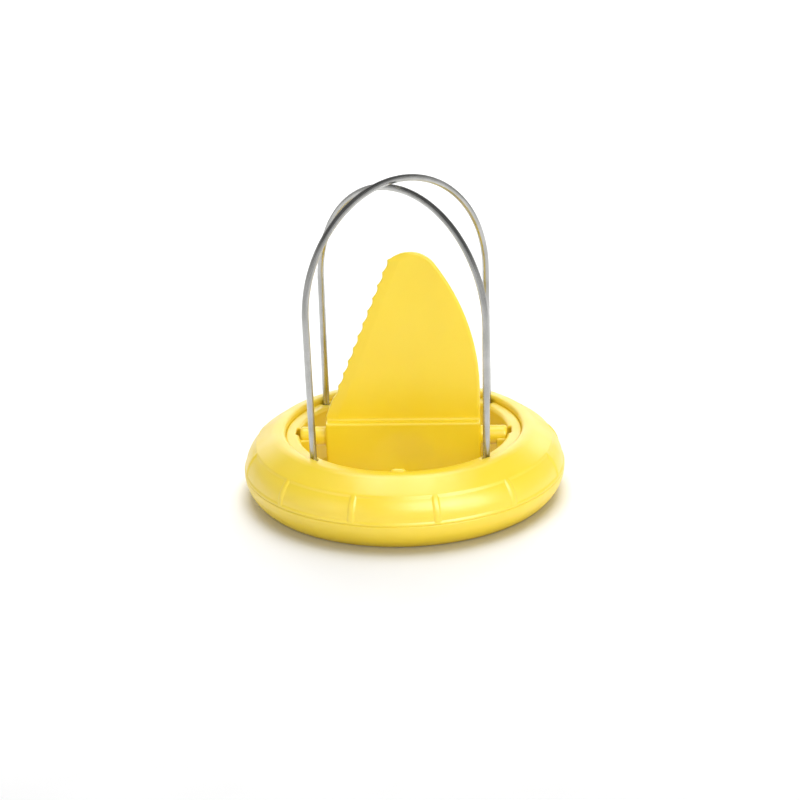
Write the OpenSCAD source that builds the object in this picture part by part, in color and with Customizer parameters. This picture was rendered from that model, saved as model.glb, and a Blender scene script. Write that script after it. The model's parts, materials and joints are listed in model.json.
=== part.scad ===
// Kiwi cutter: a moulded ring carries two crossed wire arches, and a serrated
// plastic knife swings between them on two stub axles.
// Millimetres. +Z is up and the front is -Y. The origin is the centre of the
// ring, on the surface that it stands on.

/* [Ring] */
// Outer diameter of the ring
ring_d = 85; // [84:0.5:88]
// Diameter of the opening that the fruit goes through
opening_d = 55; // [54.4:0.1:55.4]
// Height of the crown above the parting line
crown_h = 10.5; // [10.3:0.1:10.8]
// Radius of the rounded side below the parting line
heel_r = 8.6; // [8:0.1:9.5]
// Height of the parting line between the two shells
part_z = 7; // [6.8:0.1:7.2]
// Height of the ledge that the wires come out of
ledge_z = 16.2; // [16:0.1:16.5]
// Number of raised ribs round the side
rib_count = 12; // [6:1:18]
// Width of each raised rib
rib_w = 1.5; // [1:0.1:2.5]
// Depth of the panels between the ribs
panel_depth = 0.35; // [0.2:0.05:0.6]

/* [Wires] */
// Diameter of the wire
wire_d = 1.8; // [1.4:0.1:1.8]
// Distance of each wire foot from the centre
foot_r = 29.9; // [29.6:0.1:29.9]
// Angle of each arch from the X axis
wire_angle = 42.4; // [40:0.1:45]
// Height of the upper arch's centreline at its top
upper_top = 84.7; // [80:0.1:90]
// Space between the two arches where they cross
cross_gap = 0.6; // [0.1:0.1:1.5]
// Outward lean of each arch's front leg, in degrees
front_lean = 0.9; // [0:0.1:1.8]

/* [Knife] */
// Width of the grip and of the foot of the blade
knife_w = 40.8; // [38:0.1:41]
// Thickness of the grip
grip_t = 7; // [6:0.1:8]
// Height of the shelf where the blade meets the grip
shelf_z = 19.4; // [18.5:0.1:20]
// Height of the tip of the blade
tip_z = 65.4; // [62:0.1:67]
// Thickness of the blade
blade_t = 2; // [1.6:0.1:2.4]
// Height of the stub axles
axle_z = 14.7; // [14.5:0.1:15]
// Diameter of the stub axles
axle_d = 5; // [4.6:0.1:5]
// Number of teeth on the blade
tooth_count = 11; // [8:1:13]

/* [Hidden] */
$fn = 96;

ring_r = ring_d / 2;
opening_r = opening_d / 2;
wire_r = wire_d / 2;
axle_r = axle_d / 2;
eps = 0.01;

// Ring sections
wall = 1.8;               // wall of the crown
heel_wall = 2.2;          // wall of the base shell's side
crest_z = part_z + crown_h;
crest_in_r = 31.2;
edge_r = 0.4;             // rounding of the crest's inner edge
side_r = 9;               // radius of the crown's side
top_r = 4.5;              // radius of the crown's shoulder
slope = 55;               // direction of the flat between them, square to it
side_c = [ring_r - side_r, part_z];
top_c = [side_c[0] + (side_r - top_r - (crown_h - top_r) * sin(slope)) / cos(slope),
         crest_z - top_r];
skirt_t = 1.5;
skirt_z = 8.6;            // lower end of the crown's inner skirt
seam_chamfer = 0.25;      // small groove along the parting line
panel_low = part_z + 0.8;
panel_high = part_z + 6.7;
rib_turn = -1;            // the ribs sit a little round from the knife's line
tongue_out_r = 40.4;
tongue_t = 1;
tongue_z = part_z + 1.3;

// Wire holder
holder_t = 1.6;
holder_gap = 0.2;         // between the holder and the crown's skirt
ledge_t = 2.2;
ledge_round = 1;
collar_t = 1.6;           // flange clamped between the two shells
slot_clear = 0.05;
saddle_in_r = 24.6;       // inner end of the blocks under the stub axles
saddle_half = 3.3;
saddle_low = 8.5;
socket_clear = 0.05;
socket_end = 28.5;
nub_w = 3.8;
nub_r = 0.8;
nub_at = opening_r + 0.9;

// Hidden ends of the wires
bend_r = 2;
bend_lap = 0.05;
bend_thin = 0.01;
bend_z = 7.2;             // where a leg starts to bend outward
hook_z = bend_z - bend_r;
hook_end = 36.2;
post_in = 33.2;
post_t = 2;
post_w = 4;
post_gap = 0.1;
lower_top = upper_top - wire_d - cross_gap;

// Pegs that join the shells
peg_at = 36.4;
peg_r = 1.5;
peg_top = 12;
peg_clear = 0.05;
sleeve_r = 2.7;
sleeve_z = part_z + 0.5;

// Blade outline: a straight serrated edge, a round tip and a bowed back
half_w = knife_w / 2;
grip_low = 3;
back_r = 58;
back_z = 28;              // where the back starts to curve
tip_r = 8;
tip_c = [half_w - back_r
         + sqrt(pow(back_r - tip_r, 2) - pow(tip_z - tip_r - back_z, 2)), tip_z - tip_r];
back_c = [half_w - back_r, back_z];
tip_start = 128;          // angle where the serrated edge meets the round tip
heel = [-half_w, shelf_z + 1.1];
tip_corner = [-3, tip_z - 2];
edge_len = norm(tip_corner - heel);
edge_angle = atan2(tip_corner[1] - heel[1], tip_corner[0] - heel[0]);
tooth_pitch = 3.72;
tooth_cut = 0.55;
tooth_cut_r = (pow(tooth_pitch / 2, 2) + tooth_cut * tooth_cut) / (2 * tooth_cut);
bevel_w = 3;
bevel_edge = 0.45;        // half thickness left at the cutting edge
dimple_d = 17.4;
dimple_depth = 1;
dimple_z = 9;
dimple_r = (pow(dimple_d / 2, 2) + dimple_depth * dimple_depth) / (2 * dimple_depth);
core_t = 3.4;             // pockets that keep the grip's walls thin
core_w = 14.5;
core_top = 13;
axle_end = 27.4;
axle_round = 0.8;
plastic = "#F5DC50";
steel = "#B8B8B4";

// Points on an arc from angle a0 to angle a1
function arc(c, r, a0, a1, n) =
    [for (i = [0 : n]) let (a = a0 + (a1 - a0) * i / n) c + r * [cos(a), sin(a)]];

// Radius of an arch that is tangent to both of its legs: h is its height over
// the feet, left and right are the legs' outward leans
function arch_r(h, left, right) =
    (2 * foot_r + h * (tan(left) + tan(right)))
    / ((1 + sin(left)) / cos(left) + (1 + sin(right)) / cos(right));

// The crown's outline filled in, drawn in by the inset, from x0 outward and z0 up
module crown_fill(inset, x0, z0) {
    polygon(concat(
        [[x0, z0], [side_c[0] + side_r - inset, z0]],
        arc(side_c, side_r - inset, 0, slope, 6),
        arc(top_c, top_r - inset, slope, 90, 4),
        [[x0, crest_z - inset]]
    ));
}

// Repeats its children at the four wire feet, with +X pointing outward
module at_feet() {
    for (a = [-wire_angle, wire_angle, 180 - wire_angle, 180 + wire_angle])
        rotate([0, 0, a]) children();
}

module at_pegs() {
    for (i = [0 : 3])
        rotate([0, 0, 90 * i]) translate([peg_at, 0, 0]) children();
}

// Round groove along a hook, open upward to the height given
module hook_slot(x0, x1, top) {
    r = wire_r + slot_clear;
    translate([x0, 0, hook_z]) rotate([0, 90, 0]) cylinder(h = x1 - x0, r = r);
    translate([x0, -r, hook_z]) cube([x1 - x0, 2 * r, top - hook_z]);
}

module crown_section() {
    difference() {
        crown_fill(0, crest_in_r + edge_r, part_z);
        crown_fill(wall, crest_in_r, part_z - eps);
        translate([ring_r, part_z]) rotate(45)
            square(seam_chamfer * sqrt(2), center = true);
    }
    translate([crest_in_r, skirt_z]) square([skirt_t, crest_z - edge_r - skirt_z]);
    translate([crest_in_r + edge_r, crest_z - edge_r]) circle(r = edge_r);
}

// Everything inside the crown, down to the middle of its wall
module crown_inside(z0) {
    rotate_extrude() crown_fill(wall / 2, crest_in_r, z0);
}

module panel_cut() {
    gap = rib_w / ring_r * 180 / PI;
    rotate([0, 0, gap / 2])
        rotate_extrude(angle = 360 / rib_count - gap)
        intersection() {
            difference() {
                crown_fill(-1, side_c[0], part_z);
                crown_fill(panel_depth, 0, 0);
            }
            translate([0, panel_low]) square([ring_r + 2, panel_high - panel_low]);
        }
}

module crown_shell() {
    color(plastic) difference() {
        union() {
            rotate_extrude() crown_section();
            intersection() {
                union() {
                    at_pegs() translate([0, 0, sleeve_z]) cylinder(h = crown_h, r = sleeve_r);
                    at_feet() translate([post_in, -post_w / 2, hook_z + post_gap])
                        cube([post_t, post_w, crown_h + part_z - hook_z]);
                }
                crown_inside(0);
            }
        }
        for (i = [0 : rib_count - 1])
            rotate([0, 0, rib_turn + (i + 0.5) * 360 / rib_count]) panel_cut();
        at_pegs() translate([0, 0, sleeve_z - 1])
            cylinder(h = peg_top + 1.5 - sleeve_z, r = peg_r + peg_clear);
        at_feet() translate([post_in - 1, 0, hook_z]) rotate([0, 90, 0])
            cylinder(h = post_t + 2, r = wire_r + slot_clear);
    }
}

// Part of a disc: outside its centre, and between two heights
module heel_disc(c, r, z0, z1) {
    intersection() {
        translate(c) circle(r = r);
        translate([c[0] - eps, z0]) square([ring_r, z1 - z0]);
    }
}

module base_section() {
    heel_c = [ring_r - heel_r, part_z];
    difference() {
        union() {
            heel_disc(heel_c, heel_r, 0, part_z);
            translate([opening_r, 0]) square([heel_c[0] - opening_r + eps, wall]);
        }
        heel_disc(heel_c, heel_r - heel_wall, wall, part_z + eps);
        translate([ring_r, part_z]) rotate(45)
            square(seam_chamfer * sqrt(2), center = true);
        // rounded lower edge of the opening
        difference() {
            translate([opening_r - 1, -1]) square([2, 2]);
            translate([opening_r + 1, 1]) circle(r = 1);
        }
    }
    // tongue that centres the crown
    translate([tongue_out_r - tongue_t, part_z - 3]) square([tongue_t, tongue_z - part_z + 3]);
    // wall that the holder's collar stands on, and the rib that centres the holder
    translate([crest_in_r, wall - eps]) square([skirt_t - 0.1, part_z - wall + eps]);
    translate([opening_r + holder_t + 0.1, wall - eps]) square([1.2, 2]);
}

module base_shell() {
    color(plastic) {
        difference() {
            union() {
                rotate_extrude() base_section();
                at_feet() translate([post_in, -post_w / 2, wall / 2])
                    cube([post_t, post_w, hook_z - post_gap - wall / 2]);
            }
            at_feet() hook_slot(crest_in_r - 1, post_in + post_t + 1, part_z + 1);
        }
        at_pegs() translate([0, 0, wall / 2]) cylinder(h = peg_top - wall / 2, r = peg_r);
    }
}

module holder_section() {
    out_r = crest_in_r - holder_gap;
    // inner wall
    translate([opening_r, wall]) square([holder_t, ledge_z - ledge_round - wall]);
    // ledge, with its inner edge rounded
    translate([opening_r + ledge_round, ledge_z - ledge_t])
        square([out_r - opening_r - ledge_round, ledge_t]);
    translate([opening_r + ledge_round, ledge_z - ledge_round]) circle(r = ledge_round);
    // collar, clamped between the shells
    translate([opening_r + holder_t - eps, part_z])
        square([crest_in_r + skirt_t - opening_r - holder_t - 0.1, collar_t]);
}

// Round slot for a wire leg, open outward so that the bent end can go in
module leg_slot() {
    r = wire_r + slot_clear;
    translate([foot_r, 0, 0]) cylinder(h = crest_z + 1, r = r);
    translate([foot_r, -r, 0]) cube([6, 2 * r, crest_z + 1]);
}

// Small rounded nub on the front of the ledge
module nub() {
    half = nub_w / 2 / nub_at * 180 / PI;
    end = half - nub_r / nub_at * 180 / PI;
    rotate([0, 0, 270 - end]) rotate_extrude(angle = 2 * end)
        translate([nub_at, ledge_z]) circle(r = nub_r);
    for (a = [270 - end, 270 + end])
        rotate([0, 0, a]) translate([nub_at, 0, ledge_z]) sphere(r = nub_r);
}

module wire_holder() {
    color(plastic) difference() {
        union() {
            rotate_extrude() holder_section();
            for (side = [0, 180]) rotate([0, 0, side])
                translate([saddle_in_r, -saddle_half, saddle_low])
                    cube([opening_r + 0.8 - saddle_in_r, 2 * saddle_half, axle_z - saddle_low]);
            nub();
        }
        at_feet() leg_slot();
        // sockets of the stub axles, nearly closed over them at the ledge
        for (side = [0, 180]) rotate([0, 0, side])
            translate([saddle_in_r - 1, 0, axle_z]) rotate([0, 90, 0])
                cylinder(h = socket_end - saddle_in_r + 1, r = axle_r + socket_clear);
    }
}

// Wire bent from a list of steps: [length] runs straight along +Y, and
// [radius, angle] turns left, or right where the angle is negative. The bends
// are a hair thinner than the straight runs, and end inside them
module bent_wire(steps, i = 0) {
    if (i < len(steps)) {
        if (len(steps[i]) == 1) {
            translate([0, -bend_lap, 0]) rotate([-90, 0, 0])
                cylinder(h = steps[i][0] + 2 * bend_lap, r = wire_r);
            translate([0, steps[i][0], 0]) bent_wire(steps, i + 1);
        } else {
            r = steps[i][0];
            a = steps[i][1];
            side = sign(a);
            translate([-side * r, 0, 0]) {
                rotate([0, 0, a < 0 ? 180 + a : 0])
                    rotate_extrude(angle = abs(a)) translate([r, 0]) circle(r = wire_r - bend_thin);
                rotate([0, 0, a]) translate([side * r, 0, 0]) bent_wire(steps, i + 1);
            }
        }
    }
}

// An arch in its own upright plane: left and right are its legs' outward leans
module wire_arch(top, left, right) {
    h = top - bend_z;
    r = arch_r(h, left, right);
    rise_right = (h - r * (1 + sin(right))) / cos(right);
    rise_left = (h - r * (1 + sin(left))) / cos(left);
    hook_right = hook_end - foot_r - bend_r * cos(right);
    hook_left = hook_end - foot_r - bend_r * cos(left);
    drop_right = bend_r * (1 + sin(right));
    translate([hook_end, 0, bend_z - drop_right]) rotate([90, 0, 0]) rotate([0, 0, 90])
        bent_wire([
            [hook_right], [bend_r, -90 - right], [rise_right],
            [r, 180 + right + left],
            [rise_left], [bend_r, -90 - left], [hook_left]
        ]);
}

module upper_wire() {
    color(steel) rotate([0, 0, wire_angle]) wire_arch(upper_top, front_lean, 0);
}

module lower_wire() {
    color(steel) rotate([0, 0, -wire_angle]) wire_arch(lower_top, 0, front_lean);
}

module blade_outline() {
    tangent = atan2(tip_c[1] - back_c[1], tip_c[0] - back_c[0]);
    polygon(concat(
        [[-half_w, shelf_z - 2], heel, tip_corner],
        arc(tip_c, tip_r, tip_start, tangent, 12),
        arc(back_c, back_r, tangent, 0, 16),
        [[half_w, shelf_z - 2]]
    ));
}

// One face's bevel along the serrated edge
module edge_bevel() {
    translate([heel[0], 0, heel[1]]) rotate([0, -edge_angle, 0])
        translate([-2, 0, 0]) rotate([90, 0, 90]) linear_extrude(edge_len + 4)
        polygon([[bevel_edge, 0.5], [blade_t / 2 + 0.2, -bevel_w], [3, -bevel_w], [3, 0.5]]);
}

module blade() {
    difference() {
        translate([0, blade_t / 2, 0]) rotate([90, 0, 0])
            linear_extrude(blade_t) blade_outline();
        for (i = [0 : tooth_count - 1])
            translate([heel[0], 0, heel[1]]) rotate([0, -edge_angle, 0])
                translate([edge_len - (i + 0.5) * tooth_pitch, 0, tooth_cut_r - tooth_cut])
                rotate([90, 0, 0]) cylinder(h = grip_t, r = tooth_cut_r, center = true);
        edge_bevel();
        mirror([0, 1, 0]) edge_bevel();
    }
}

module grip_outline() {
    corner = 3;
    polygon(concat(
        arc([corner - half_w, grip_low + corner], corner, 270, 180, 8),
        [[-half_w, shelf_z], [half_w, shelf_z]],
        arc([half_w - corner, grip_low + corner], corner, 0, -90, 8)
    ));
}

// Stub axle along +X, with a rounded end
module axle() {
    length = axle_end - half_w + 1;
    translate([half_w - 1, 0, axle_z]) rotate([0, 90, 0]) rotate_extrude() {
        square([axle_r, length - axle_round]);
        square([axle_r - axle_round, length]);
        intersection() {
            translate([axle_r - axle_round, length - axle_round]) circle(r = axle_round);
            square([axle_r, length]);
        }
    }
}

module knife() {
    color(plastic) {
        blade();
        difference() {
            translate([0, grip_t / 2, 0]) rotate([90, 0, 0])
                linear_extrude(grip_t) grip_outline();
            for (side = [-1, 1]) {
                translate([0, side * (grip_t / 2 - dimple_depth + dimple_r), dimple_z])
                    sphere(r = dimple_r);
                translate([side * (core_w / 2 + 2.5) - core_w / 2, -core_t / 2, grip_low - 1])
                    cube([core_w, core_t, core_top - grip_low + 1]);
            }
        }
        axle();
        mirror([1, 0, 0]) axle();
    }
}

crown_shell();
base_shell();
wire_holder();
upper_wire();
lower_wire();
knife();
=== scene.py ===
"""Looks of the kiwi cutter: a moulded ring, two crossed wire arches and a serrated knife.

The CAD frame holds the sizes and the joint. Every piece here is rebuilt as a fine mesh in the
same place, with rounded edges, and given a procedural material. Shapes are worked out in
millimetres and turned into metres when a mesh is made.
"""
import json
import math

import bmesh
import bpy
from mathutils import Matrix, Vector


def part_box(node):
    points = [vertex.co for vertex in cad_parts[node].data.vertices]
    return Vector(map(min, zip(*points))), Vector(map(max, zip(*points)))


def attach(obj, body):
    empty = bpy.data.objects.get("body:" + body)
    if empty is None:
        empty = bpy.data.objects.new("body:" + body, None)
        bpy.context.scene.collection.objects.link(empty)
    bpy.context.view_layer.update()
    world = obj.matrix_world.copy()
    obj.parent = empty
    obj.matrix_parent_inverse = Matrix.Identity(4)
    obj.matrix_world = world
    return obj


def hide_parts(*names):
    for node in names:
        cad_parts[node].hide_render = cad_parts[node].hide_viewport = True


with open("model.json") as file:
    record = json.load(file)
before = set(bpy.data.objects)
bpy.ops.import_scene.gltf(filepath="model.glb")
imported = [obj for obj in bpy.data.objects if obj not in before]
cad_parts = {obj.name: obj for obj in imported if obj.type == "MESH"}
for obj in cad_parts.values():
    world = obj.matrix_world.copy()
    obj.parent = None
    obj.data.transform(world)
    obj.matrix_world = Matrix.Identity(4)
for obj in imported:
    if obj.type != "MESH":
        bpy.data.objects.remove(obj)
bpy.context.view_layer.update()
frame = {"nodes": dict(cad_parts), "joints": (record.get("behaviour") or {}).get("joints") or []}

MM = 0.001


# ---------------------------------------------------------------- sizes, in millimetres

def reach(node):
    """Largest distance of a CAD node from the Z axis."""
    verts = frame["nodes"][node].data.vertices
    return max(math.hypot(v.co.x, v.co.y) for v in verts) / MM


# ring sections
RING_R = round(reach("crown_shell"), 1)
CREST_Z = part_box("crown_shell")[1].z / MM
CROWN_H = 10.5
PART_Z = CREST_Z - CROWN_H   # the parting line between the two shells
CREST_IN_R = 31.2
CREST_EDGE = 1.0             # rounding of the crest's inner edge
SIDE_R = 9.0                 # round side of the crown
SHOULDER_R = 4.5             # round shoulder above it
SLOPE = 55.0                 # direction, in degrees, square to the flat between them
WALL = 1.8
SKIRT_T = 1.5
SKIRT_Z = 8.6                # lower end of the crown's inner skirt
SEAM = 0.14                  # depth and half width of the groove along the parting line
SEAM_LIP = 0.02              # how far the groove's edges stand in from the ring's side
HEEL_R = 8.6                 # round side of the base
HEEL_WALL = 2.2
FLAT_R = RING_R - HEEL_R + 4     # outer edge of the flat that the ring stands on
TONGUE_R = 40.4              # the base's lip inside the crown
TONGUE_T = 1.0
TONGUE_Z = PART_Z + 1.3
CENTRING_T = 1.2             # the low rib on the base that centres the holder
CENTRING_H = 2.0
PART_GAP = 0.1               # play between the base and the parts that stand in it

# raised ribs and the shallow panels between them
RIBS = 12
RIB_W = 1.5
RIB_TURN = 180 / RIBS - 1    # where the first rib is, in degrees
PANEL_DEPTH = 0.28
PANEL_LOW = PART_Z + 0.8
PANEL_HIGH = PART_Z + 6.7
STEP = 0.7                   # width of the soft step at each panel's edge

# wire holder
OPENING_R = 27.5
LEDGE_Z = 16.2
HOLDER_T = 1.6
LEDGE_T = 2.2
LEDGE_ROUND = 1.0
HOLDER_OUT_R = CREST_IN_R - 0.05
COLLAR_R = 32.6
COLLAR_T = 1.6
SADDLE_IN_R = 24.6           # the blocks that carry the knife's stub axles
SADDLE_LAP = 0.8
SADDLE_HALF = 3.3
SADDLE_LOW = 8.5
SOCKET_R = 2.58
SOCKET_END = 28.5
HOLE_PLAY = 0.12             # play round each wire
HOLE_DEPTH = 6.0             # how far the wire's way in reaches outward
NUB_AT = OPENING_R + 0.9
NUB_R = 0.8
NUB_HALF = 1.9

# wires
WIRE_R = 0.9
FOOT_R = 29.9
WIRE_ANGLE = 42.4
FRONT_LEAN = 0.9             # outward lean of each arch's front leg, in degrees
BEND_R = 2.0                 # the bend under each leg
BEND_Z = 7.2
HOOK_END = 36.2
UPPER_TOP = 84.7
LOWER_TOP = 82.3

# knife
AXLE_Z = frame["joints"][0]["pos_m"][2] / MM
AXLE_R = 2.5
AXLE_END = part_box("knife")[1].x / MM
AXLE_ROUND = 0.8
GRIP_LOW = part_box("knife")[0].z / MM
TIP_Z = 65.4
GRIP_HALF_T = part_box("knife")[1].y / MM
SHELF_Z = 19.4
HALF_W = 20.4
GRIP_CORNER = 3.0
GRIP_EDGE = 0.45
BLADE_HALF_T = 1.0
BLADE_EDGE_HALF_T = 0.12     # half the blade's thickness at its thinnest
BLADE_LAP = 2.0              # how far the blade runs into the grip
TIP_R = 8.0
BACK_R = 58.0                # bow of the blade's back, which starts at BACK_Z
BACK_Z = 28.0
HEEL = (-HALF_W, SHELF_Z + 1.1)      # lower end of the serrated edge
TIP_CORNER = (-3.0, TIP_Z - 2)       # upper end
TIP_START = 128              # where on the tip's arc, in degrees, the corner runs into it
TEETH = 11
TOOTH_PITCH = 3.72
TOOTH_CUT = 0.55
BEVEL_W = 3.0                # the blade thins over this width, to BEVEL_EDGE on each side
BEVEL_EDGE = 0.45
BACK_ROUND = 0.7
DIMPLE_R = 8.7
DIMPLE_DEPTH = 1.0
DIMPLE_SOFT = 1.2
DIMPLE_Z = 9.0
CORE_T = 3.4                 # the two pockets under the grip
CORE_W = 14.5
CORE_TOP = 13.0
CORE_RIB_HALF = 2.5

HOLDER_VOXEL = 0.28
KNIFE_VOXEL = 0.25


# ---------------------------------------------------------------- mesh tools

def arc(cx, cz, r, a0, a1, n):
    """Points on an arc, in degrees, both ends included."""
    steps = [math.radians(a0 + (a1 - a0) * i / n) for i in range(n + 1)]
    return [(cx + r * math.cos(a), cz + r * math.sin(a)) for a in steps]


def on_arc(cx, cz, r, a):
    """One point of an arc."""
    return arc(cx, cz, r, a, a, 1)[0]


def smooth_step(t):
    t = min(1.0, max(0.0, t))
    return t * t * (3 - 2 * t)


def make_object(name, verts, faces):
    """Mesh from millimetre points, with its normals outward and smooth shading."""
    mesh = bpy.data.meshes.new(name)
    mesh.from_pydata([Vector(v) * MM for v in verts], [], faces)
    obj = bpy.data.objects.new(name, mesh)
    bpy.context.scene.collection.objects.link(obj)
    bm = bmesh.new()
    bm.from_mesh(mesh)
    bmesh.ops.recalc_face_normals(bm, faces=bm.faces)
    bm.to_mesh(mesh)
    bm.free()
    mesh.shade_smooth()
    return obj


def revolve(name, profile, angles, push=None):
    """Closed profile of (r, z) points turned round Z through the listed angles, in degrees."""
    verts = []
    faces = []
    rows = len(profile)
    for a in angles:
        c, s = math.cos(math.radians(a)), math.sin(math.radians(a))
        for r, z in profile:
            if push:
                r, z = push(r, z, a)
            verts.append((r * c, r * s, z))
    for i in range(len(angles)):
        j = (i + 1) % len(angles)
        for k in range(rows):
            m = (k + 1) % rows
            faces.append((i * rows + k, j * rows + k, j * rows + m, i * rows + m))
    return make_object(name, verts, faces)


def even_angles(count):
    return [360 * i / count for i in range(count)]


def box(name, low, high):
    """A cutter or an added block: a box between two corners."""
    x, y, z = zip(low, high)
    verts = [(x[i], y[j], z[k]) for i in (0, 1) for j in (0, 1) for k in (0, 1)]
    faces = [(0, 1, 3, 2), (4, 6, 7, 5), (0, 4, 5, 1), (2, 3, 7, 6), (0, 2, 6, 4), (1, 5, 7, 3)]
    return make_object(name, verts, faces)


def bar(name, start, end, radius):
    """A cutter: a round bar between two points."""
    sides = 48
    a, b = Vector(start), Vector(end)
    turn = (b - a).to_track_quat("Z", "Y").to_matrix()
    verts = []
    for centre in (a, b):
        for k in range(sides):
            t = 2 * math.pi * k / sides
            verts.append(centre + turn @ Vector((radius * math.cos(t), radius * math.sin(t), 0)))
    faces = [(k, (k + 1) % sides, sides + (k + 1) % sides, sides + k) for k in range(sides)]
    faces += [tuple(range(sides)), tuple(range(sides, 2 * sides))]
    return make_object(name, verts, faces)


def ball(name, centre, radius):
    """An added knob: a fine sphere."""
    mesh = bpy.data.meshes.new(name)
    bm = bmesh.new()
    bmesh.ops.create_icosphere(bm, subdivisions=5, radius=radius * MM)
    bmesh.ops.translate(bm, verts=bm.verts, vec=Vector(centre) * MM)
    bm.to_mesh(mesh)
    bm.free()
    obj = bpy.data.objects.new(name, mesh)
    bpy.context.scene.collection.objects.link(obj)
    return obj


def apply_modifiers(obj):
    graph = bpy.context.evaluated_depsgraph_get()
    mesh = bpy.data.meshes.new_from_object(obj.evaluated_get(graph))
    obj.modifiers.clear()
    obj.data = mesh


def combine(obj, other, operation):
    """Boolean of obj with other, which is then removed."""
    step = obj.modifiers.new("step", "BOOLEAN")
    step.operation = operation
    step.solver = "EXACT"
    step.object = other
    apply_modifiers(obj)
    bpy.data.objects.remove(other)


def mould(obj, voxel, passes):
    """Joins a rough solid into one fine skin, and rounds all its edges a little."""
    remesh = obj.modifiers.new("remesh", "REMESH")
    remesh.mode = "VOXEL"
    remesh.voxel_size = voxel * MM
    soften = obj.modifiers.new("soften", "SMOOTH")
    soften.factor = 0.5
    soften.iterations = passes
    apply_modifiers(obj)
    obj.data.shade_smooth()


def finish_piece(obj, body, node, material):
    obj.data.materials.clear()
    obj.data.materials.append(material)
    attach(obj, body)
    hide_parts(node)
    return obj


# ---------------------------------------------------------------- the ring's two shells

def shoulder_centre():
    """Where the crown's shoulder is centred, so that one flat is tangent to shoulder and side."""
    s = math.radians(SLOPE)
    z = CREST_Z - SHOULDER_R
    r = RING_R - SIDE_R + (SIDE_R - SHOULDER_R - (z - PART_Z) * math.sin(s)) / math.cos(s)
    return r, z


def side_angles():
    """Directions of the crown side's points: even, and close together at the panels' edges."""
    angles = {SLOPE * i / 16 for i in range(1, 17)}
    for height in (PANEL_LOW, PANEL_HIGH):
        for i in range(-3, 4):
            z = height - PART_Z + STEP / 2 * i / 3
            angles.add(math.degrees(math.asin(z / SIDE_R)))
    return sorted(a for a in angles if SEAM < SIDE_R * math.sin(math.radians(a)))


def crown_profile():
    side_c = (RING_R - SIDE_R, PART_Z)
    shoulder_c = shoulder_centre()
    edge_c = (CREST_IN_R + CREST_EDGE, CREST_Z - CREST_EDGE)
    points = [(RING_R - SEAM, PART_Z), (RING_R - SEAM_LIP, PART_Z + SEAM)]
    for a in side_angles():
        points.append(on_arc(*side_c, SIDE_R, a))
    points += arc(*shoulder_c, SHOULDER_R, SLOPE, 90, 10)[1:]
    points += arc(*edge_c, CREST_EDGE, 90, 180, 6)
    points += [(CREST_IN_R, SKIRT_Z), (CREST_IN_R + SKIRT_T, SKIRT_Z)]
    points += arc(*shoulder_c, SHOULDER_R - WALL, 90, SLOPE, 6)
    points += arc(*side_c, SIDE_R - WALL, SLOPE, 0, 14)
    return points


def rib_angles():
    """Turning steps round the crown: close together at each rib's two edges."""
    angles = set()
    pitch = 360 / RIBS
    per_mm = math.degrees(1 / RING_R)
    for rib in range(RIBS):
        middle = RIB_TURN + rib * pitch
        angles.update((middle + pitch * i / 20) % 360 for i in range(1, 20))
        angles.add(middle % 360)
        for side in (-1, 1):
            for i in range(-3, 4):
                away = side * (RIB_W / 2 + STEP / 2 * i / 3)
                angles.add((middle + away * per_mm) % 360)
    return sorted(angles)


def press_panels(r, z, angle):
    """Moves a point of the crown's outside inward where it lies on a panel."""
    pitch = 360 / RIBS
    from_rib = abs((angle - RIB_TURN + pitch / 2) % pitch - pitch / 2) * math.radians(RING_R)
    edge = min(from_rib - RIB_W / 2, z - PANEL_LOW, PANEL_HIGH - z)
    outside = math.hypot(r - (RING_R - SIDE_R), z - PART_Z) > SIDE_R - WALL / 2
    if not outside or r < RING_R - SIDE_R:
        return r, z
    depth = PANEL_DEPTH * smooth_step(edge / STEP + 0.5)
    s = math.atan2(z - PART_Z, r - (RING_R - SIDE_R))
    return r - depth * math.cos(s), z - depth * math.sin(s)


def make_crown(material):
    obj = revolve("crown", crown_profile(), rib_angles(), press_panels)
    return finish_piece(obj, "ring", "crown_shell", material)


def base_profile():
    heel_c = RING_R - HEEL_R
    low = -math.degrees(math.asin(PART_Z / HEEL_R))
    points = [(RING_R - SEAM, PART_Z), (TONGUE_R, PART_Z)]
    points += [(TONGUE_R, TONGUE_Z), (TONGUE_R - TONGUE_T, TONGUE_Z)]
    inner = HEEL_R - HEEL_WALL
    start = -math.degrees(math.acos((TONGUE_R - TONGUE_T - heel_c) / inner))
    end = -math.degrees(math.asin((PART_Z - WALL) / inner))
    points += arc(heel_c, PART_Z, inner, start, end, 8)
    # the wall under the holder's collar, and the rib that centres the holder
    wall_out = CREST_IN_R + SKIRT_T - PART_GAP
    points += [(wall_out, WALL), (wall_out, PART_Z), (CREST_IN_R, PART_Z), (CREST_IN_R, WALL)]
    rib_in = OPENING_R + HOLDER_T + PART_GAP
    rib_out = rib_in + CENTRING_T
    rib_top = WALL + CENTRING_H
    points += [(rib_out, WALL), (rib_out, rib_top), (rib_in, rib_top), (rib_in, WALL)]
    points += [(OPENING_R, WALL)]
    points += arc(OPENING_R + 1, 1, 1, 180, 270, 8)
    # the flat that the ring stands on runs softly into its side
    points.append((FLAT_R, 0))
    points += arc(heel_c, PART_Z, HEEL_R, low + 2.5, -2, 22)
    points.append((RING_R - SEAM_LIP, PART_Z - SEAM))
    return points


def make_base(material):
    obj = revolve("base", base_profile(), even_angles(240))
    return finish_piece(obj, "ring", "base_shell", material)


# ---------------------------------------------------------------- the wire holder

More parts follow.
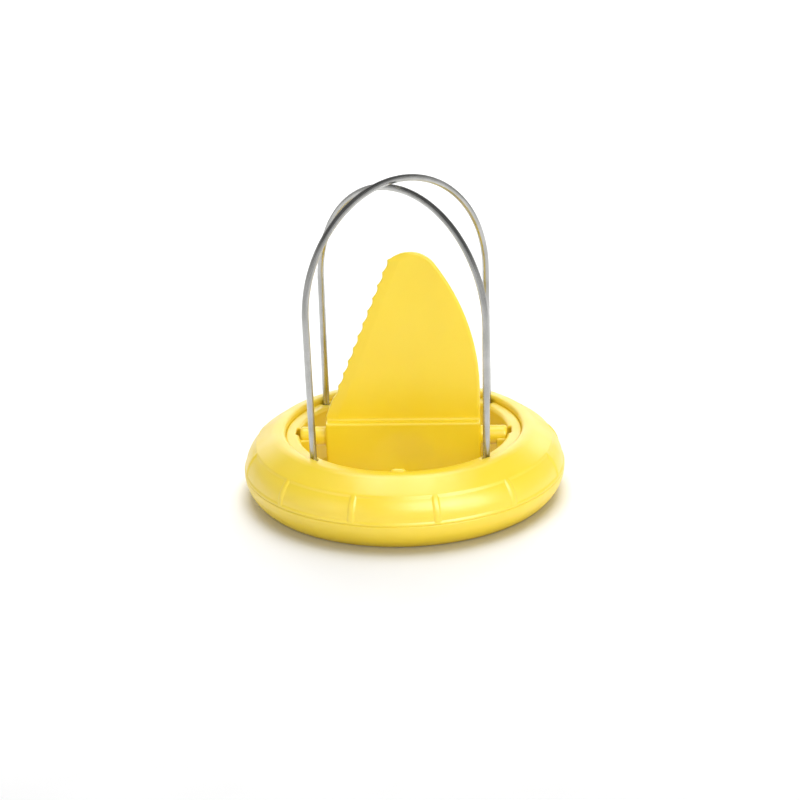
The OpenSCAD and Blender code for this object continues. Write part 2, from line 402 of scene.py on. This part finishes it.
def holder_profile():
    wall_out = OPENING_R + HOLDER_T
    round_c = (OPENING_R + LEDGE_ROUND, LEDGE_Z - LEDGE_ROUND)
    collar_top = PART_Z + COLLAR_T
    points = [(OPENING_R, WALL)]
    points += arc(*round_c, LEDGE_ROUND, 180, 90, 8)
    points += [(HOLDER_OUT_R, LEDGE_Z), (HOLDER_OUT_R, LEDGE_Z - LEDGE_T)]
    points += [(wall_out, LEDGE_Z - LEDGE_T), (wall_out, collar_top), (COLLAR_R, collar_top)]
    points += [(COLLAR_R, PART_Z), (wall_out, PART_Z), (wall_out, WALL)]
    return points


def foot_angles():
    return [-WIRE_ANGLE, WIRE_ANGLE, 180 - WIRE_ANGLE, 180 + WIRE_ANGLE]


def turned(obj, angle):
    """Turns a new mesh round Z, in degrees."""
    obj.data.transform(Matrix.Rotation(math.radians(angle), 4, "Z"))
    return obj


def make_holder(material):
    obj = revolve("wire_seat", holder_profile(), even_angles(240))
    for side in (0, 180):
        low = (SADDLE_IN_R, -SADDLE_HALF, SADDLE_LOW)
        high = (OPENING_R + SADDLE_LAP, SADDLE_HALF, AXLE_Z)
        combine(obj, turned(box("saddle", low, high), side), "UNION")
    # the nub on the front of the ledge: a short row of balls
    half = math.degrees((NUB_HALF - NUB_R) / NUB_AT)
    for x, y in arc(0, 0, NUB_AT, 270 - half, 270 + half, 6):
        combine(obj, ball("nub", (x, y, LEDGE_Z), NUB_R), "UNION")
    # a hole for each wire foot, open to the outside so that the bent end can go in
    hole_r = WIRE_R + HOLE_PLAY
    over = CREST_Z + 1
    for a in foot_angles():
        hole = bar("hole", (FOOT_R, 0, 0), (FOOT_R, 0, over), hole_r)
        combine(obj, turned(hole, a), "DIFFERENCE")
        way_in = box("way_in", (FOOT_R, -hole_r, 0), (FOOT_R + HOLE_DEPTH, hole_r, over))
        combine(obj, turned(way_in, a), "DIFFERENCE")
    for side in (-1, 1):
        inner = (side * (SADDLE_IN_R - 1), 0, AXLE_Z)
        outer = (side * SOCKET_END, 0, AXLE_Z)
        combine(obj, bar("socket", inner, outer, SOCKET_R), "DIFFERENCE")
    mould(obj, HOLDER_VOXEL, 2)
    return finish_piece(obj, "ring", "wire_holder", material)


# ---------------------------------------------------------------- wires

def bend_path(start, heading, steps):
    """Points of a flat bent line: (length,) runs straight, (radius, angle) turns left."""
    u, z = start
    way = math.radians(heading)
    points = [(u, z)]
    for step in steps:
        if len(step) == 1:
            n = max(1, round(step[0] / 1.5))
            for _ in range(n):
                u += step[0] / n * math.cos(way)
                z += step[0] / n * math.sin(way)
                points.append((u, z))
        else:
            radius, angle = step
            n = max(6, round(abs(math.radians(angle)) * radius / 0.6))
            turn = math.radians(angle) / n
            chord = 2 * radius * math.sin(abs(turn) / 2)
            for _ in range(n):
                way += turn / 2
                u += chord * math.cos(way)
                z += chord * math.sin(way)
                way += turn / 2
                points.append((u, z))
    return points


def wire_path(top, left, right):
    """Centreline of one arch as (u, z) points, from the right hook to the left one.

    Both legs lean outward, by the angles left and right, and the round top between them is
    tangent to both."""
    sl, cl = math.sin(math.radians(left)), math.cos(math.radians(left))
    sr, cr = math.sin(math.radians(right)), math.cos(math.radians(right))
    h = top - BEND_Z
    r = (2 * FOOT_R + h * (sl / cl + sr / cr)) / ((1 + sl) / cl + (1 + sr) / cr)
    steps = [
        (HOOK_END - FOOT_R - BEND_R * cr,), (BEND_R, -90 - right), ((h - r * (1 + sr)) / cr,),
        (r, 180 + right + left),
        ((h - r * (1 + sl)) / cl,), (BEND_R, -90 - left), (HOOK_END - FOOT_R - BEND_R * cl,),
    ]
    return bend_path((HOOK_END, BEND_Z - BEND_R * (1 + sr)), 180, steps)


def sweep(name, path, radius):
    """Round wire along a flat path in the XZ plane, with softened cut ends. Its points carry
    their place along the wire and round it, for the drawn streaks."""
    sides = 32
    points = [Vector((u, 0, z)) for u, z in path]
    side = Vector((0, 1, 0))
    rings = []
    along = 0.0
    for i, p in enumerate(points):
        ahead = points[min(i + 1, len(points) - 1)]
        behind = points[max(i - 1, 0)]
        if i:
            along += (p - points[i - 1]).length
        out = (ahead - behind).normalized().cross(side)
        rings.append((p, out, radius, along))
    cut = radius * 0.2
    for place, inner in ((0, 1), (-1, -2)):
        p, out, r, at = rings[place]
        inward = (points[inner] - points[place]).normalized() * cut
        rings[place] = (p + inward, out, r, at)
        tip = (p, out, r - cut, at)
        rings.insert(0 if place == 0 else len(rings), tip)
    verts = []
    marks = []
    for p, out, r, at in rings:
        for k in range(sides):
            a = 2 * math.pi * k / sides
            verts.append(p + out * (r * math.cos(a)) + side * (r * math.sin(a)))
            marks.append((at * MM, radius * math.cos(a) * MM, radius * math.sin(a) * MM))
    faces = [tuple(range(sides))]
    for i in range(len(rings) - 1):
        for k in range(sides):
            m = (k + 1) % sides
            faces.append((i * sides + k, i * sides + m, (i + 1) * sides + m, (i + 1) * sides + k))
    last = (len(rings) - 1) * sides
    faces.append(tuple(last + k for k in range(sides)))
    obj = make_object(name, verts, faces)
    route = obj.data.attributes.new("route", "FLOAT_VECTOR", "POINT")
    for item, mark in zip(route.data, marks):
        item.vector = mark
    return obj


def make_wires(material):
    plans = (
        ("high_arch", "upper_wire", WIRE_ANGLE, wire_path(UPPER_TOP, FRONT_LEAN, 0)),
        ("low_arch", "lower_wire", -WIRE_ANGLE, wire_path(LOWER_TOP, 0, FRONT_LEAN)),
    )
    made = []
    for name, node, angle, path in plans:
        obj = turned(sweep(name, path, WIRE_R), angle)
        made.append(finish_piece(obj, "ring", node, material))
    return made


# ---------------------------------------------------------------- the knife

def tip_centre():
    cz = TIP_Z - TIP_R
    cx = HALF_W - BACK_R + math.sqrt((BACK_R - TIP_R) ** 2 - (cz - BACK_Z) ** 2)
    return cx, cz


def back_x(z):
    """The blade's back edge at a height: straight, then bowed, then the round tip."""
    cx, cz = tip_centre()
    back_cx = HALF_W - BACK_R
    joint = math.atan2(cz - BACK_Z, cx - back_cx)
    if z <= BACK_Z:
        return HALF_W
    if z <= BACK_Z + BACK_R * math.sin(joint):
        return back_cx + math.sqrt(BACK_R ** 2 - (z - BACK_Z) ** 2)
    return cx + math.sqrt(max(0.0, TIP_R ** 2 - (z - cz) ** 2))


def front_x(z):
    """The serrated edge's line, without its teeth, and the tip's round left corner."""
    if z < HEEL[1]:
        return -HALF_W
    line = HEEL[0] + (TIP_CORNER[0] - HEEL[0]) * (z - HEEL[1]) / (TIP_CORNER[1] - HEEL[1])
    cx, cz = tip_centre()
    if z <= TIP_CORNER[1]:
        return line
    corner = on_arc(cx, cz, TIP_R, TIP_START)
    if z <= corner[1]:
        t = (z - TIP_CORNER[1]) / (corner[1] - TIP_CORNER[1])
        return TIP_CORNER[0] + (corner[0] - TIP_CORNER[0]) * t
    return cx - math.sqrt(max(0.0, TIP_R ** 2 - (z - cz) ** 2))


def tooth_depth(z):
    """How far the serrated edge is cut back, square to its line, at a height."""
    length = math.dist(HEEL, TIP_CORNER)
    s = (TIP_CORNER[1] - z) / (TIP_CORNER[1] - HEEL[1]) * length
    if not 0 <= s <= TEETH * TOOTH_PITCH:
        return 0.0
    x = s % TOOTH_PITCH - TOOTH_PITCH / 2
    r = ((TOOTH_PITCH / 2) ** 2 + TOOTH_CUT ** 2) / (2 * TOOTH_CUT)
    return max(0.0, math.sqrt(r * r - x * x) - (r - TOOTH_CUT))


def make_blade():
    """The blade as a grid of points on both faces: bevelled at the teeth, rounded at the back."""
    lean = math.atan2(TIP_CORNER[1] - HEEL[1], TIP_CORNER[0] - HEEL[0])
    rows = 300
    low = SHELF_Z - BLADE_LAP
    heights = [low + (TIP_Z - low) * math.sin(math.pi / 2 * i / rows) for i in range(rows + 1)]
    columns = 60
    verts = []
    for z in heights:
        cut = tooth_depth(z) / math.sin(lean)
        x0 = front_x(z) + cut
        x1 = max(back_x(z), x0 + 0.01)
        for side in (-1, 1):
            for i in range(columns + 1):
                t = i / columns
                x = x0 + (x1 - x0) * (0.5 - 0.5 * math.cos(math.pi * t))
                from_line = (x - x0 + cut) * math.sin(lean)
                bevel = BEVEL_EDGE + (BLADE_HALF_T - BEVEL_EDGE) * min(1, from_line / BEVEL_W)
                near_back = min(1.0, max(0.0, 1 - min(x1 - x, TIP_Z - z) / BACK_ROUND))
                drop = BACK_ROUND * (1 - math.sqrt(1 - near_back ** 2))
                half = max(BLADE_EDGE_HALF_T, min(bevel, BLADE_HALF_T - drop))
                verts.append((x, side * half, z))
    n = columns + 1
    stride = 2 * n
    faces = []
    for r in range(rows):
        a, b = r * stride, (r + 1) * stride
        for i in range(columns):
            faces.append((a + i, a + i + 1, b + i + 1, b + i))
            faces.append((a + n + i, b + n + i, b + n + i + 1, a + n + i + 1))
        faces.append((a, b, b + n, a + n))
        faces.append((a + columns, a + n + columns, b + n + columns, b + columns))
    for i in range(columns):
        top = rows * stride
        faces.append((i, n + i, n + i + 1, i + 1))
        faces.append((top + i, top + i + 1, top + n + i + 1, top + n + i))
    return make_object("knife_body", verts, faces)


def make_grip():
    """The grip's block, with rounded edges and the pockets under it."""
    corners = arc(GRIP_CORNER - HALF_W, GRIP_LOW + GRIP_CORNER, GRIP_CORNER, 270, 180, 8)
    corners += [(-HALF_W, SHELF_Z), (HALF_W, SHELF_Z)]
    corners += arc(HALF_W - GRIP_CORNER, GRIP_LOW + GRIP_CORNER, GRIP_CORNER, 0, -90, 8)
    n = len(corners)
    verts = [(x, y, z) for y in (-GRIP_HALF_T, GRIP_HALF_T) for x, z in corners]
    faces = [tuple(range(n)), tuple(range(n, 2 * n))]
    faces += [(k, (k + 1) % n, n + (k + 1) % n, n + k) for k in range(n)]
    obj = make_object("grip", verts, faces)
    edges = obj.modifiers.new("edges", "BEVEL")
    edges.width = GRIP_EDGE * MM
    edges.segments = 4
    edges.limit_method = "ANGLE"
    edges.angle_limit = math.radians(50)
    apply_modifiers(obj)
    for side in (-1, 1):
        middle = side * (CORE_W / 2 + CORE_RIB_HALF)
        low = (middle - CORE_W / 2, -CORE_T / 2, GRIP_LOW - 1)
        high = (middle + CORE_W / 2, CORE_T / 2, CORE_TOP)
        combine(obj, box("pocket", low, high), "DIFFERENCE")
    return obj


def make_axle(side):
    """Stub axle with a rounded end, turned round the X axis."""
    profile = [(0.001, HALF_W - 1), (AXLE_R, HALF_W - 1)]
    profile += arc(AXLE_R - AXLE_ROUND, AXLE_END - AXLE_ROUND, AXLE_ROUND, 0, 90, 6)
    profile += [(0.001, AXLE_END)]
    obj = revolve("axle", profile, even_angles(64))
    obj.data.transform(Matrix.Rotation(math.radians(90 * side), 4, "Y"))
    obj.data.transform(Matrix.Translation((0, 0, AXLE_Z * MM)))
    return obj


def join(target, others):
    bm = bmesh.new()
    for obj in (target, *others):
        bm.from_mesh(obj.data)
    bm.to_mesh(target.data)
    bm.free()
    for obj in others:
        bpy.data.objects.remove(obj)


def press_hollows(obj):
    """Soft thumb hollow in the middle of each of the grip's faces."""
    for vert in obj.data.vertices:
        x, y, z = vert.co / MM
        away = math.hypot(x, z - DIMPLE_Z) / (DIMPLE_R + DIMPLE_SOFT)
        if away < 1 and abs(y) > GRIP_HALF_T - GRIP_EDGE and z < SHELF_Z - GRIP_EDGE:
            dish = DIMPLE_DEPTH * (0.5 + 0.5 * math.cos(math.pi * away))
            vert.co.y -= math.copysign(dish * MM, y)


def make_knife(material):
    obj = make_blade()
    join(obj, [make_grip(), make_axle(-1), make_axle(1)])
    mould(obj, KNIFE_VOXEL, 2)
    press_hollows(obj)
    obj.name = "swing_knife"
    return finish_piece(obj, "knife", "knife", material)


# ---------------------------------------------------------------- materials

# the part of a noise texture's range that most of its values lie in
NOISE_SPAN = (0.35, 0.65)


def new_material(name):
    material = bpy.data.materials.new(name)
    material.use_nodes = True
    nodes = material.node_tree.nodes
    return material, nodes, material.node_tree.links, nodes["Principled BSDF"]


def noise(nodes, links, vector, scale, detail):
    node = nodes.new("ShaderNodeTexNoise")
    node.inputs["Scale"].default_value = scale
    node.inputs["Detail"].default_value = detail
    links.new(vector, node.inputs["Vector"])
    return node.outputs["Fac"]


def ramp(nodes, links, value, low, high):
    """Noise turned into a colour between two."""
    node = nodes.new("ShaderNodeValToRGB")
    first, last = node.color_ramp.elements
    first.position, last.position = NOISE_SPAN
    first.color = (*low, 1)
    last.color = (*high, 1)
    links.new(value, node.inputs["Fac"])
    return node.outputs["Color"]


def map_range(nodes, links, value, low, high, start=NOISE_SPAN[0], end=NOISE_SPAN[1]):
    node = nodes.new("ShaderNodeMapRange")
    node.inputs["From Min"].default_value = start
    node.inputs["From Max"].default_value = end
    node.inputs["To Min"].default_value = low
    node.inputs["To Max"].default_value = high
    links.new(value, node.inputs["Value"])
    return node.outputs["Result"]


def bump(nodes, links, height, distance, strength):
    node = nodes.new("ShaderNodeBump")
    node.inputs["Distance"].default_value = distance
    node.inputs["Strength"].default_value = strength
    links.new(height, node.inputs["Height"])
    return node.outputs["Normal"]


def plastic(name, pale, deep, gloss, shine):
    """Glossy moulded plastic: faint flow marks in its colour, and a soft uneven sheen.

    gloss is its middle roughness, and shine the strength of its reflection."""
    material, nodes, links, shader = new_material(name)
    place = nodes.new("ShaderNodeTexCoord").outputs["Object"]
    flow = noise(nodes, links, place, 70, 2)
    links.new(ramp(nodes, links, flow, deep, pale), shader.inputs["Base Color"])
    sheen = noise(nodes, links, place, 160, 1)
    links.new(map_range(nodes, links, sheen, gloss - 0.04, gloss + 0.05),
              shader.inputs["Roughness"])
    shader.inputs["IOR"].default_value = 1.55
    shader.inputs["Specular IOR Level"].default_value = shine
    shader.inputs["Subsurface Weight"].default_value = 0.12
    shader.inputs["Subsurface Radius"].default_value = (1.0, 0.6, 0.1)
    shader.inputs["Subsurface Scale"].default_value = 0.0015
    return material


def steel():
    """Bright drawn wire: fine streaks along its length."""
    material, nodes, links, shader = new_material("drawn_steel")
    route = nodes.new("ShaderNodeAttribute")
    route.attribute_name = "route"
    stretch = nodes.new("ShaderNodeMapping")
    stretch.inputs["Scale"].default_value = (0.03, 1, 1)
    links.new(route.outputs["Vector"], stretch.inputs["Vector"])
    streak = noise(nodes, links, stretch.outputs["Vector"], 5200, 3)
    patch = noise(nodes, links, route.outputs["Vector"], 130, 3)
    links.new(ramp(nodes, links, patch, (0.42, 0.42, 0.40), (0.54, 0.54, 0.53)),
              shader.inputs["Base Color"])
    links.new(map_range(nodes, links, streak, 0.2, 0.34), shader.inputs["Roughness"])
    links.new(bump(nodes, links, streak, 0.00003, 0.35), shader.inputs["Normal"])
    shader.inputs["Metallic"].default_value = 1.0
    return material


# ---------------------------------------------------------------- camera, floor and light

def camera():
    """A long lens that looks down at the ring from a touch to its right, rolled a little."""
    aim_z = 7.1
    distance = 600.0
    elevation = math.radians(22.5)
    azimuth = math.radians(3.3)
    roll = math.radians(1.8)
    rise, shift = 16.45, 0.7
    back = Vector((math.sin(azimuth) * math.cos(elevation),
                   -math.cos(azimuth) * math.cos(elevation), math.sin(elevation)))
    rest = Vector((0, 0, aim_z))
    right = Vector((math.cos(azimuth), math.sin(azimuth), 0))
    up = right.cross(-back)
    place = rest + back * distance
    # the middle of the picture lies above the ring's own middle, and a little left of it
    target = rest + up * rise - right * shift
    data = bpy.data.cameras.new("camera")
    data.sensor_width = 36
    data.lens = 101.4
    data.clip_start = 0.01
    data.clip_end = 20
    cam = bpy.data.objects.new("camera", data)
    bpy.context.scene.collection.objects.link(cam)
    cam.rotation_mode = "QUATERNION"
    look = (target - place).to_track_quat("-Z", "Y")
    turn = Matrix.Rotation(-roll, 4, "Z").to_quaternion()
    cam.location = place * MM
    cam.rotation_quaternion = look @ turn
    bpy.context.scene.camera = cam


def make_floor():
    """A wide sheet of plain pale paper."""
    half = 3000
    corners = [(-half, -half, 0), (half, -half, 0), (half, half, 0), (-half, half, 0)]
    floor = make_object("floor", corners, [(0, 1, 2, 3)])
    material, nodes, links, shader = new_material("paper")
    place = nodes.new("ShaderNodeTexCoord").outputs["Object"]
    mottle = noise(nodes, links, place, 40, 2)
    tint = ramp(nodes, links, mottle, (0.94, 0.94, 0.94), (0.96, 0.96, 0.96))
    links.new(tint, shader.inputs["Base Color"])
    shader.inputs["Roughness"].default_value = 0.9
    shader.inputs["Specular IOR Level"].default_value = 0.1
    floor.data.materials.append(material)
    return floor


def area_light(name, place, aim, size, power):
    """A soft box: metres and watts."""
    data = bpy.data.lights.new(name, "AREA")
    data.shape = "RECTANGLE"
    data.size, data.size_y = size
    data.energy = power
    lamp = bpy.data.objects.new(name, data)
    bpy.context.scene.collection.objects.link(lamp)
    lamp.location = place
    lamp.rotation_mode = "QUATERNION"
    lamp.rotation_quaternion = (Vector(aim) - Vector(place)).to_track_quat("-Z", "Y")
    return lamp


def aim_at(lamps, state, pieces):
    """Lamps that light only the listed pieces, or all but them."""
    group = bpy.data.collections.new("lit_" + lamps[0].name)
    for piece in pieces:
        group.objects.link(piece)
    for lamp in lamps:
        lamp.light_linking.receiver_collection = group
    for item in group.collection_objects:
        item.light_linking.link_state = state


def light_the_scene(steel_pieces, floor):
    """Soft boxes overhead and in front, in a room that is bright low down behind the object
    and dark above it, as the dark upper sides of the wires show."""
    world = bpy.data.worlds.new("room")
    bpy.context.scene.world = world
    world.use_nodes = True
    nodes, links = world.node_tree.nodes, world.node_tree.links
    direction = nodes.new("ShaderNodeTexCoord").outputs["Generated"]
    axes = nodes.new("ShaderNodeSeparateXYZ")
    links.new(direction, axes.inputs["Vector"])
    wall = map_range(nodes, links, axes.outputs["Y"], 0.75, 0.55, -0.6, 0.6)
    room = nodes.new("ShaderNodeMix")
    room.inputs["B"].default_value = 0.14
    links.new(wall, room.inputs["A"])
    links.new(map_range(nodes, links, axes.outputs["Z"], 0, 1, 0.25, 0.7), room.inputs["Factor"])
    links.new(room.outputs["Result"], nodes["Background"].inputs["Color"])
    middle = (0, 0, 0.02)
    overhead = area_light("overhead", (0, 0.2, 0.92), middle, (0.65, 0.7), 4.4)
    front = [
        area_light("front_key", (0.35, -0.65, 0.74), middle, (0.8, 0.6), 5.0),
        area_light("right_fill", (0.7, -0.6, 0.5), middle, (0.6, 0.6), 2.8),
        area_light("left_fill", (-0.7, -0.6, 0.5), middle, (0.6, 0.6), 0.8),
    ]
    back_wall = area_light("back_wall", (0, 1.0, 0.38), middle, (1.6, 0.6), 4.8)
    above = area_light("floor_light", (0.12, 0.45, 0.82), middle, (0.75, 0.75), 5.4)
    # the wires mirror the room only, and the front lamps leave the floor's shadows alone
    aim_at([overhead, back_wall], "EXCLUDE", steel_pieces)
    aim_at(front, "EXCLUDE", [*steel_pieces, floor])
    aim_at([above], "INCLUDE", [floor])


# ---------------------------------------------------------------- the scene

camera()
ring_plastic = plastic("ring_plastic_look", (0.88, 0.65, 0.022), (0.86, 0.63, 0.019), 0.34, 1.0)
knife_plastic = plastic("knife_plastic_look", (0.9, 0.675, 0.021), (0.88, 0.65, 0.018), 0.34, 0.8)
drawn_steel = steel()
make_crown(ring_plastic)
make_base(ring_plastic)
make_holder(ring_plastic)
wires = make_wires(drawn_steel)
make_knife(knife_plastic)
floor = make_floor()
light_the_scene(wires, floor)
bpy.context.scene.view_settings.view_transform = "Standard"
